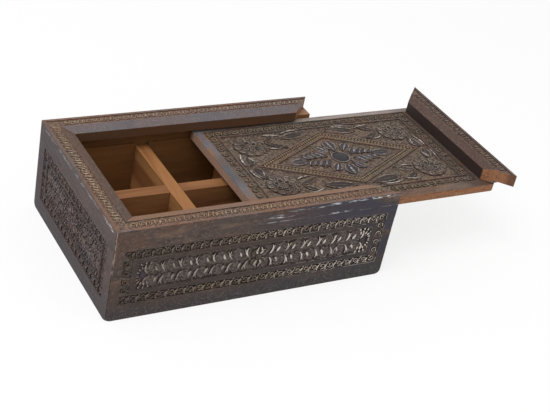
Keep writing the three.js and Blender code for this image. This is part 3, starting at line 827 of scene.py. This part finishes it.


# The ridge colours below are pale dust together with a painted highlight.
long_wear_and_highlight = {
    "frame": {"ridge": "#a89c90", "amount": 0.7, "hollow": "#453b37", "olive": 0.6},
    "field": {"ridge": wall_chalk, "amount": 0.75, "hollow": "#37323a", "gaps": 0.36, "olive": 0.1},
}
end_wear_and_highlight = {
    "frame": {"ridge": "#968d92", "amount": 0.3, "hollow": "#2c2629", "gaps": 0.42, "olive": 0.25},
    "field": {"ridge": "#b9b1bb", "amount": 0.5, "hollow": "#2b262e", "gaps": 0.5, "olive": 0.05},
}
carved_walls = [
    ("front", (long_field, long_flower, long_garland, True), 0),
    ("rear", (long_field, long_flower, long_garland, True), 2 * quarter),
    ("left", (end_field, end_flower, end_garland, False), -quarter),
    ("right", (low_field, end_flower, end_garland, False), quarter),
]
for seed, (side, layout, turn) in enumerate(carved_walls):
    wall = f"{side}_wall"
    field, flower_sizes, _, is_long = layout
    outward, plane, dusty_end = outer_faces[wall][:3]
    axis = "x" if outward[1] else "y"
    spot = ("case", "stained_wood", Vector(outward) * (plane - carving_depth), (quarter, 0, turn))
    zones = {"frame": (panel_frame(field, flower_sizes, is_long), 11), "field": (panel_field(*layout), 21)}
    for zone, (marks, first_seed) in zones.items():
        wear_and_highlight = {**long_wear_and_highlight[zone], "dusty_end": dusty_end} if is_long else end_wear_and_highlight[zone]
        finish = carved_material(f"carved_{wall}_{zone}", axis, umber, ash_grey, **wear_and_highlight)
        carve(f"{side}_carving_{zone}", marks, finish, *spot, first_seed + seed)


# Bottom board: a plain sawn board, let into the foot of the walls and nailed from below.
# It was never stained, and one bare finish covers every face of it.
board_brown = "#82592f"
board_dark = "#5a3b1e"


def bare_material(name, axis, light, dark):
    """Planed or sawn hardwood with no stain: growth bands, fibres and a few dark pores, dull to the eye."""
    material, tree, out = new_material(name)
    colour = blend(tree, patches(tree, axis, 140, 15, 0.3, 0.7, 3.0, 0.6), light, dark)
    # Real fibres and pores are finer than the render shows, so they are drawn 1 to 2 mm wide.
    fibres = along_grain(tree, axis, 50, 1.8, 6.0, 0.2)
    colour = lay(tree, colour, patches(tree, axis, 12, 0.9, 0.62, 0.75, 2.0), 0.5, dark)
    colour = lay(tree, colour, fade(tree, fibres, 0.3, 0.8), 0.4, dark)
    satin_finish(tree, out, colour, fibres, 0.6, 0.85, fibre_depth=0.15)
    return material


dress("bottom_board", bare_material("sawn_board", "x", board_brown, board_dark))


# Dividers: three bare planed slats, lapped over each other and housed in the walls.
# They are the cleanest wood in the box, a light tan with darker growth bands and fibres.
tan = "#aa794a"
tan_dark = "#80522e"
long_tan = "#9c6e44"
long_tan_dark = "#754a2b"
dress("long_divider", bare_material("planed_long_slat", "x", long_tan, long_tan_dark))
for divider in ("cross_divider_left", "cross_divider_right"):
    dress(divider, bare_material(f"planed_{divider}", "y", tan, tan_dark))


# Rim mouldings: three lengths of one moulding, mitred at the corners and glued on top of the walls.
# Their flat has a sunk band of curls, and their bevel is plain, grey-blue under old wax.
# The outer edge is worn to orange-brown, and the open mitres show raw wood.
rim_brown = "#755446"
rim_grey = "#655654"
worn_edge = "#75573f"
edge_wear = "#917359"
edge_grime = "#4a3a2c"
chalky_edge = "#c2b4ae"
band_dirt = ("#43342a", "#7d6652")
bevel_dust = "#a39a98"
chalk_white = "#dfe3ea"
raw_orange = "#986745"
raw_dark = "#70462a"
raw_blotch = "#4b2d1b"
raw_pale = "#bd8d66"
mitre_dirt = "#3a251a"
rim_edge = 3.2
rim_band = 10.8
rim_band_depth = 0.9
rim_pitch = 9.3
rim_slant = 0.45
rim_relief = 0.85
rim_hollow = "#5b493b"
rim_stroke_width = 1.5

# The slanted strokes by each curl: how far along the band they stand, how long they are, and their bend.
rim_strokes = ((1.8, 10, 1.6), (4.2, 8.4, -1.2), (-3.6, 5, 0.8))

# Where a rim is scuffed white: from and to along the rim, how far below its top, how wide, and how strongly.
front_scuffs = [
    (0.066, 0.155, 0.002, 0.0017, 0.8), (0.085, 0.15, 0.0014, 0.0014, 1.0),
    (0.0, 0.034, 0.0078, 0.0024, 0.7), (0.064, 0.098, 0.0125, 0.0012, 0.8),
    (-0.02, 0.05, 0.0135, 0.0006, 0.6), (0.02, 0.075, 0.0035, 0.001, 0.5),
]
left_scuffs = [(-0.098, -0.062, 0.0034, 0.0022, 0.8), (-0.06, 0.09, 0.003, 0.0018, 0.3)]
case_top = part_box("front_rim")[1][2]


def raw_wood(tree, axis, length, width):
    """Bare wood at a cut end or a rubbed edge: orange, streaked, and blotched where hands have marked it."""
    raw = blend(tree, along_grain(tree, axis, length, width), raw_orange, raw_dark)
    raw = lay(tree, raw, patches(tree, axis, 6, 2.4, 0.5, 0.66), 0.5, raw_blotch)
    return lay(tree, raw, patches(tree, axis, 3.4, 1.8, 0.55, 0.7, 3.0), 0.4, raw_pale)


def rim_material(name, axis, outward, plane, brown, grey, bevel, bevel_amount, inner, grime=0, dusty_end=None,
                 scuffs=(), worn_corner=None):
    """Stained hardwood moulding: worn along its outer edge, darker in its band, and raw wood at its mitres.

    Its flat and bevel have the dull sheen of old wax, and white scuffs where other things have knocked it.
    """
    material, tree, out = new_material(name)
    colour, fibres = old_stain(tree, axis, brown, grey)
    inset = depth_below(tree, outward, plane)
    depth = depth_below(tree, (0, 0, 1), case_top)
    upwards = facing(tree, (0, 0, 1))
    level = fade(tree, upwards, 0.9, 0.97)
    on_edge = both(tree, level, fade(tree, inset, (rim_edge + 0.1) / 1000, 0.002))
    colour = lay(tree, colour, on_edge, grime, edge_grime)
    colour = lay(tree, colour, both(tree, on_edge, patches(tree, axis, 40, 5, 0.38, 0.6)), 0.45, worn_edge)
    band_end = (rim_edge + rim_band) / 1000
    within = add(tree, "ShaderNodeMath", {0: inset, 1: band_end + 0.0002}, operation="LESS_THAN").outputs[0]
    sunk = fade(tree, depth, rim_band_depth * 0.0004, rim_band_depth * 0.0008)
    packed_dirt = blend(tree, patches(tree, axis, 2.2, 1.8, 0.4, 0.62, 3.0), *band_dirt)
    colour = lay(tree, colour, both(tree, both(tree, within, sunk), level), 0.8, packed_dirt)
    on_bevel = both(tree, fade(tree, inset, band_end, band_end + 0.001), fade(tree, upwards, 0.7, 0.8))
    colour = lay(tree, colour, on_bevel, bevel_amount, bevel)
    dusted = both(tree, patches(tree, axis, 2.4, 1.2, 0.54, 0.68, 2.0), on_bevel)
    colour = lay(tree, colour, dusted, 0.2, bevel_dust)
    worn = edge_wear
    if dusty_end:
        reach = reach_along(tree, dusty_end)
        worn = blend(tree, fade(tree, reach, 0.03, 0.1), edge_wear, chalky_edge)
    colour = lay(tree, colour, worn_arris(tree, axis), 0.4 - 0.5 * grime, worn)
    stain, _ = old_stain(tree, axis, umber, ash_grey, 0.12, 0.7)
    if dusty_end:
        stain = blued(tree, stain, axis, dusty_end, grime)
    outer_face = fade(tree, facing(tree, outward), 0.9, 0.97)
    # The left rim's outer face takes the same painted shade and purple grime as the end walls.
    colour = lay(tree, colour, outer_face, 0.97, blend(tree, grime, stain, end_grime_and_shade))
    if worn_corner:
        colour = chipped(tree, colour, worn_corner)
    scratches = patches(tree, axis, 7, 0.7, 0.5, 0.6)
    for start, end, middle, spread, strength in scuffs:
        line = inside(tree, depth, middle - spread, middle + spread, spread * 0.7)
        line = both(tree, both(tree, line, inside(tree, reach, start, end, 0.01)), outer_face)
        colour = lay(tree, colour, both(tree, scratches, line), strength, chalk_white)
    colour = lay(tree, colour, fade(tree, facing(tree, outward), -0.9, -0.97), 0.9, inner)
    raw = lay(tree, raw_wood(tree, axis, 20, 3), fade(tree, inset, 0.009, 0.004), 0.6, mitre_dirt)
    skew = both(tree, facing(tree, (1, 0, 0)), facing(tree, (0, 1, 0)))
    skew = add(tree, "ShaderNodeMath", {0: skew}, operation="ABSOLUTE").outputs[0]
    mitre = add(tree, "ShaderNodeMath", {0: skew, 1: 0.3}, operation="GREATER_THAN").outputs[0]
    colour = lay(tree, colour, mitre, 0.95, raw)
    satin_finish(tree, out, colour, fibres, 0.42, 0.66)
    return material


def rim_marks(half_run):
    """A row of curls along a moulding's band, among short slanted strokes, as far as the mitres allow."""
    marks = []
    middle = rim_edge + rim_band / 2
    size = rim_band * 0.7
    for x in spaced(-half_run, half_run, rim_pitch):
        if abs(x) + middle + size * 0.7 < half_run:
            marks.append(mark(CURL, x, middle, 0, size, size * 1.15, rim_relief, loose=curl_looseness))
        for step, length, belly in rim_strokes:
            low, reach = middle - length / 2, length * math.sin(rim_slant)
            if max(abs(x + step), abs(x + step + reach)) + middle + length / 2 < half_run - 0.6:
                place = (x + step, low, quarter - rim_slant)
                marks.append(mark(STROKE, *place, length, rim_stroke_width, rim_relief, 0, belly, 2))
    return marks


front_faces = {
    "bevel": "#7d5a3c", "bevel_amount": 0.7, "inner": "#4d331f", "dusty_end": (1, 0, 0),
    "scuffs": front_scuffs, "worn_corner": left_side,
}
rear_faces = {"bevel": "#5b5a5f", "bevel_amount": 0.65, "inner": "#523722"}
left_faces = {
    "bevel": "#452f1f", "bevel_amount": 0.85, "inner": "#40291b", "grime": 0.42, "dusty_end": (0, 1, 0),
    "scuffs": left_scuffs,
}

# Each rim's grain, outward side and plane, half run, turn on the plan, ridge colour (dust and painted
# highlight), and plain faces.
rims = [
    ("front_rim", "x", *front_side, left_plane, 0, "#b39a7c", front_faces),
    ("rear_rim", "x", *rear_side, left_plane, 2 * quarter, "#b8a095", rear_faces),
    ("left_rim", "y", *left_side, front_plane, -quarter, "#c8b496", left_faces),
]
for seed, (rim, axis, outward, plane, half_run, turn, ridge, plain_faces) in enumerate(rims):
    dress(rim, rim_material(f"moulded_{rim}", axis, outward, plane, rim_brown, rim_grey, **plain_faces))
    finish = carved_material(f"carved_{rim}", axis, rim_brown, rim_grey, ridge, 0.62, rim_hollow)
    place = Vector(outward) * plane + Vector((0, 0, case_top - rim_band_depth / 1000))
    spot = ("case", "rim_wood", place, (0, 0, turn))
    carve(f"{rim}_carving", rim_marks(half_run * 1000), finish, *spot, 31 + seed)


# Nails: short iron nails that hold the bottom board and the bar.
# They are forged, dull and brown, and only where the rust has rubbed off does the eye see metal.
rust = "#4a2e20"
iron_dark = "#2e2a29"

# Blotches of rust are about 1.1 mm wide.
rust_scale = 900.0
nail_material, tree, out = new_material("rusted_iron")
position = add(tree, "ShaderNodeTexCoord").outputs["Object"]
noise = {"Vector": position, "Scale": rust_scale, "Detail": 4.0}
blotches = add(tree, "ShaderNodeTexNoise", noise).outputs["Fac"]
rusty = fade(tree, blotches, 0.4, 0.65)
metal = add(tree, "ShaderNodeMapRange", {"Value": rusty, "To Min": 0.85, "To Max": 0.0}).outputs[0]
iron = {"Base Color": blend(tree, rusty, iron_dark, rust), "Metallic": metal, "Roughness": 0.6}
tree.links.new(add(tree, "ShaderNodeBsdfPrincipled", iron).outputs[0], out.inputs["Surface"])
for name in nodes:
    if "nail" in name:
        dress(name, nail_material)


# Lid: one board with bevelled margins and rounded corners, carved on top and stained like the case.
# Its edges and underside show raw wood, orange where they rub in the runway.
lid_brown = "#6a5041"
lid_grey = "#5e514a"
lid_margin_wax = ("#7e7d82", "#35333a")
lid_margin_brown = "#7c5c44"
lid_margin_shade = "#2f3336"
weathered_grey = "#a39a95"
lid_ground_dirt = ("#281f19", "#6f5e4f")
lid_ground_dust = "#a39583"
lid_rose = "#7d5447"
rosette_shade = "#211a16"
hand_grease = "#2b211c"
lid_arris_wear = "#a89482"
inner_end_grey = "#b49c8e"
lid_low, lid_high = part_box("lid_panel")
lid_carving_depth = 1.5
lid_margin = 9
lid_bar_margin = 4
carved_start = lid_low[0] + lid_margin / 1000
carved_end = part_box("lid_bar")[0][0] - lid_bar_margin / 1000
rosette_reach = (89, 36.5)
rosette_radius = 18.6


def on_rosettes(tree):
    """A mask of the four rosettes, which lie alike in the lid's four quarters."""
    position = add(tree, "ShaderNodeTexCoord").outputs["Object"]
    offset = [(carved_start + carved_end) / -2, 0, -lid_high[2]]
    centred = add(tree, "ShaderNodeVectorMath", {0: position, 1: offset}, operation="ADD").outputs[0]
    quartered = add(tree, "ShaderNodeVectorMath", {0: centred}, operation="ABSOLUTE").outputs[0]
    ends = {0: quartered, 1: [rosette_reach[0] / 1000, rosette_reach[1] / 1000, 0]}
    away = add(tree, "ShaderNodeVectorMath", ends, operation="DISTANCE").outputs["Value"]
    return fade(tree, away, rosette_radius / 1000 + 0.001, rosette_radius / 1000 - 0.002)


def lid_material():
    """Stained hardwood on top, with blue-grey wax on the inner margin, a dark carved ground and raw edges.

    Dust fills the ground and the rosettes are painted darker as shade, which makes the pale ridges stand out
    to the eye.
    """
    material, tree, out = new_material("stained_lid")
    colour, fibres = old_stain(tree, "x", lid_brown, lid_grey)
    outwards, across = reach_along(tree, (1, 0, 0)), reach_along(tree, (0, 1, 0))
    margin = fade(tree, outwards, carved_start + 0.0005, lid_low[0] + 0.008)
    clouds = both(tree, patches(tree, "y", 30, 5, 0.36, 0.5, 5.0, 0.4), fade(tree, across, -0.06, -0.035))
    streaks = blend(tree, along_grain(tree, "y", 9, 0.8, 3.0), *lid_margin_wax)
    colour = lay(tree, colour, margin, 0.85, blend(tree, clouds, lid_margin_brown, streaks))
    shaded = both(tree, margin, inside(tree, across, -0.035, 0.035, 0.02))
    colour = lay(tree, colour, shaded, 0.42, lid_margin_shade)
    weathered = both(tree, fade(tree, across, lid_high[1] - 0.01, lid_high[1] - 0.008), 0.6)
    colour = lay(tree, colour, weathered, patches(tree, "x", 60, 5, 0.36, 0.5), weathered_grey)
    depth = depth_below(tree, (0, 0, 1), lid_high[2])
    upwards = facing(tree, (0, 0, 1))
    sunk = fade(tree, depth, lid_carving_depth * 0.0003, lid_carving_depth * 0.0009)
    ground = both(tree, sunk, fade(tree, upwards, 0.992, 0.998))
    tool_marks, packed_dirt = gouged(tree, "x", ground, lid_ground_dirt, 2.0)
    colour = lay(tree, colour, ground, 0.8, packed_dirt)
    specks = both(tree, patches(tree, "x", 1.9, 1.6, 0.58, 0.68, 2.0), ground)
    colour = lay(tree, colour, specks, 0.45, lid_ground_dust)
    colour = lay(tree, colour, patches(tree, "x", 70, 40, 0.52, 0.68, 2.0, 0.4), 0.15, lid_rose)
    colour = lay(tree, colour, on_rosettes(tree), 0.4, rosette_shade)
    by_bar = fade(tree, outwards, lid_high[0] - 0.045, lid_high[0] - 0.025)
    colour = lay(tree, colour, by_bar, 0.35, hand_grease)
    # Painted shade and packed dirt in the corners and cuts of the lid.
    colour = lay(tree, colour, recess_shade(tree, 0.0015), 0.7, deep_stain_and_shade)
    colour = lay(tree, colour, worn_arris(tree, "x"), 0.12, lid_arris_wear)
    inner_end = fade(tree, facing(tree, (-1, 0, 0)), 0.9, 0.97)
    raw = lay(tree, raw_wood(tree, "x", 40, 5), inner_end, 0.5, inner_end_grey)
    below = {0: depth, 1: (lid_carving_depth + 0.1) / 1000}
    below = add(tree, "ShaderNodeMath", below, operation="GREATER_THAN").outputs[0]
    steep = add(tree, "ShaderNodeMath", {0: upwards, 1: 0.5}, operation="LESS_THAN").outputs[0]
    colour = lay(tree, colour, both(tree, below, steep), 1.0, raw)
    satin_finish(tree, out, colour, fibres, 0.45, 0.7, tool_marks)
    return material


dress("lid_panel", lid_material())


# Carving on the lid: a rhombus of twisted rope round a flower, a rosette in each corner with long leaves
# that run along the rope, a bud at each end, and a border of curls inside the bevelled margin.
# The four quarters mirror each other.
lid_relief = 1.45
lid_border = 12
lid_border_pitch = 9.7
border_link = {"back": 1.6, "down": 4, "length": 8.5, "width": 2, "belly": 1.4}
rhombus_half_length = 99
rhombus_half_width = 50
rope_inset = 5.1
border_looseness = 24
rope_pitch = 3.6
rope_offset = 1.9
rope_lean = 0.5
rope_strand = (5, 3)
flower_ring = 10.6
rosette_rings = [(CURL, 11, 13.6, 9.2), (CELL, 6, 7, 6.8)]
rosette_relief = 2.2
rosette_eye = 3.2
spray_count = 4
spray_pitch = 6.8
spray_taper = 0.86
spray_start = (14, 2.6)
spray_turn = 0.95
spray_leaf = (17, 6.4)
spray_stroke = (14, 2)
lone_cell = (61.5, -54.5, 0, 6, 6)

# One quarter of the lid's leaves and pale strokes: place, turn, length, width, relief, bend of the tip and of
# the middle.
lid_leaves = [
    mark(LEAF, 47, 45.5, 3.0, 38, 13, lid_relief, -1),
    mark(LEAF, 69, 42, 2.6, 23, 6.5, lid_relief, -2),
    mark(LEAF, 69, 39, 3.5, 24, 6.5, lid_relief, 2),
    mark(LEAF, 104.5, 2, 1.9, 21, 11.5, lid_relief, -1.5),
]
lid_strokes = [
    mark(STROKE, 110, 1, 1.75, 25, 2.3, lid_relief, 0, -2.5),
    mark(STROKE, 99, 8, 1.3, 12, 2, lid_relief, 0, 1.5),
    mark(STROKE, 67, 54, 3.35, 22, 2, lid_relief, 0, -2),
    mark(STROKE, 71, 31, 3.3, 18, 1.9, lid_relief, 0, 2),
    mark(STROKE, 46, 53.5, 3.05, 30, 1.7, lid_relief, 0, -3),
]
flower_leaves = [mark(PETAL, 7.6, 8.6, 0.95, 19, 11, lid_relief)]
for step in range(spray_count):
    taper = spray_taper**step
    reach, rise = spray_start[0] + step * spray_pitch, spray_start[1] * taper
    sizes = [size * taper for size in spray_leaf]
    flower_leaves.append(mark(LEAF, reach, rise, spray_turn, *sizes, lid_relief, -1.5))
    sizes = [size * taper for size in spray_stroke]
    flower_leaves.append(mark(STROKE, reach + spray_pitch / 2, rise, spray_turn, *sizes, lid_relief))
crown_leaves = [
    mark(PETAL, 0, 10, quarter, 23, 16, lid_relief),
    mark(PETAL, 0, -10, -quarter, 23, 16, lid_relief),
    mark(LEAF, 38, 0, 0, 27, 13, lid_relief),
    mark(LEAF, -38, 0, math.pi, 27, 13, lid_relief),
    mark(BOSS, 0, 0, 0, 2.1 * flower_ring, 2.1 * flower_ring, lid_relief),
]


def mirror_mark(leaf, side_x, side_y):
    """The same mark in another quarter of the lid."""
    turned = math.atan2(side_y * math.sin(leaf["turn"]), side_x * math.cos(leaf["turn"]))
    placed = {"x": side_x * leaf["x"], "y": side_y * leaf["y"], "turn": turned}
    bends = {"bend": side_x * side_y * leaf["bend"], "belly": side_x * side_y * leaf["belly"]}
    return {**leaf, **placed, **bends}


def in_each_quarter(leaves):
    """The same marks in all four quarters of the lid."""
    return [mirror_mark(leaf, side_x, side_y) for side_x in (-1, 1) for side_y in (-1, 1) for leaf in leaves]


def rosette(x, y):
    """A ring of curls and a ring of cells on a low dark disc, packed like grapes, round a small eye."""
    disc = 2 * rosette_radius - 1
    marks = [
        mark(DOME, x, y, 0, disc, disc, lid_relief * 0.4),
        mark(BEAD, x, y, 0, rosette_eye, rosette_eye, lid_relief),
    ]
    for kind, count, reach, size in rosette_rings:
        for index in range(count):
            turn = 2 * math.pi * (index + 0.5) / count
            place = (x + reach * math.cos(turn), y + reach * math.sin(turn), turn)
            marks.append(mark(kind, *place, size, size, rosette_relief))
    return marks


def rope():
    """Two rows of short strands, leaning towards each other, down the middle of each side of the rhombus."""
    slope = math.atan2(rhombus_half_width, rhombus_half_length)
    strands = []
    rows = ((-rope_offset, slope + quarter - rope_lean), (rope_offset, -slope - rope_lean))
    for shift, lean in rows:
        inset = rope_inset + shift
        scale = 1 - inset / (rhombus_half_length * math.sin(slope))
        long_reach, wide_reach = rhombus_half_length * scale, rhombus_half_width * scale
        steps = round(math.hypot(long_reach, wide_reach) / rope_pitch)
        for step in range(steps):
            share = (step + 0.5) / steps
            place = (long_reach * (1 - share), wide_reach * share, lean)
            strands.append(mark(BEAD, *place, *rope_strand, lid_relief))
    return in_each_quarter(strands)


def lid_border_marks(half_x, half_y):
    """A row of curls inside the margin, linked by short strokes."""
    inset = lid_border / 2
    frame = (half_x - inset, inset - half_y, half_y - inset, lid_border_pitch)
    marks = curls_round(*frame, lid_border * 0.8, lid_relief, border_looseness)
    for x in spaced(inset - half_x, half_x - inset, lid_border_pitch)[:-1]:
        for y in (inset - half_y, half_y - inset):
            marks.append(link(x + lid_border_pitch / 2, y, lid_relief, **border_link))
    return marks


lid_half_x = (carved_end - carved_start) / 2 * 1000
lid_half_y = lid_high[1] * 1000 - lid_margin
lid_place = Vector(((carved_start + carved_end) / 2, 0, lid_high[2] - lid_carving_depth / 1000))
lid_work = in_each_quarter(lid_leaves) + [mark(CELL, *lone_cell, lid_relief)]
rosettes = []
for side_x in (-1, 1):
    for side_y in (-1, 1):
        rosettes += rosette(side_x * rosette_reach[0], side_y * rosette_reach[1])
# The ridge colours below are pale dust together with a painted highlight, whitest on the strokes and the
# flower.
border_wear_and_highlight = {"ridge": "#94836f", "amount": 0.6, "hollow": "#3b2f28", "gaps": 0.42, "olive": 0.4}
rope_wear_and_highlight = {"ridge": "#8f7f62", "amount": 0.7, "hollow": "#68573f", "gaps": 0.38, "olive": 0.4}
stroke_wear_and_highlight = {"ridge": "#d3cdc6", "amount": 0.85, "hollow": "#4a3e38", "gaps": 0.44, "olive": 0.15}
rosette_wear_and_highlight = {"ridge": "#aa9f94", "amount": 0.8, "hollow": "#1f1815", "gaps": 0.44, "olive": 0.3}
leaf_wear_and_highlight = {"ridge": "#b5aaa0", "amount": 0.85, "hollow": "#241e1c", "gaps": 0.5, "olive": 0.3}
flower_wear_and_highlight = {"ridge": "#bdb8ba", "amount": 0.75, "hollow": "#29282d", "gaps": 0.47, "olive": 0.1}
lid_pieces = [
    ("lid_border", lid_border_marks(lid_half_x, lid_half_y), "#584539", border_wear_and_highlight),
    ("lid_rope", rope(), lid_brown, rope_wear_and_highlight),
    ("lid_strokes", in_each_quarter(lid_strokes), "#5c4b42", stroke_wear_and_highlight),
    ("lid_rosettes", rosettes, "#3a2e27", rosette_wear_and_highlight),
    ("lid_leaves", lid_work, "#42352d", leaf_wear_and_highlight),
    ("lid_flower", in_each_quarter(flower_leaves) + crown_leaves, "#4d4240", flower_wear_and_highlight),
]
for seed, (name, marks, brown, wear_and_highlight) in enumerate(lid_pieces):
    finish = carved_material(f"carved_{name}", "x", brown, lid_grey, **wear_and_highlight)
    carve(name, marks, finish, "lid", "stained_wood", lid_place, (0, 0, 0), 51 + seed)


# Pull bar: a length of the same moulding, glued and nailed across the outer end of the lid as a grip.
# Hands have darkened it, and its mitred ends show raw wood.
bar_brown = "#46342f"
bar_grey = "#4f4648"
bar_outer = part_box("lid_bar")[1][0]
bar_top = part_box("lid_bar")[1][2]
bar_faces = {"bevel": "#4b3428", "bevel_amount": 0.78, "inner": "#2c201b"}
# The bar's ridge colour is pale dust with a painted highlight.
bar_wear_and_highlight = {"ridge": "#9a857b", "amount": 0.5, "hollow": "#3a2a26"}
dress("lid_bar", rim_material("moulded_lid_bar", "y", (1, 0, 0), bar_outer, bar_brown, bar_grey, **bar_faces))
bar_finish = carved_material("carved_lid_bar", "y", bar_brown, bar_grey, **bar_wear_and_highlight)
bar_place = Vector((bar_outer, 0, bar_top - rim_band_depth / 1000))
bar_spot = ("lid", "rim_wood", bar_place, (0, 0, quarter))
carve("lid_bar_carving", rim_marks(front_plane * 1000), bar_finish, *bar_spot, 61)

for helper in list(motifs.objects):
    bpy.data.objects.remove(helper)
bpy.data.collections.remove(motifs)

sizes = {"cad": [list(corner) for corner in cad_box], "visual": [list(corner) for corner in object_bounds()]}
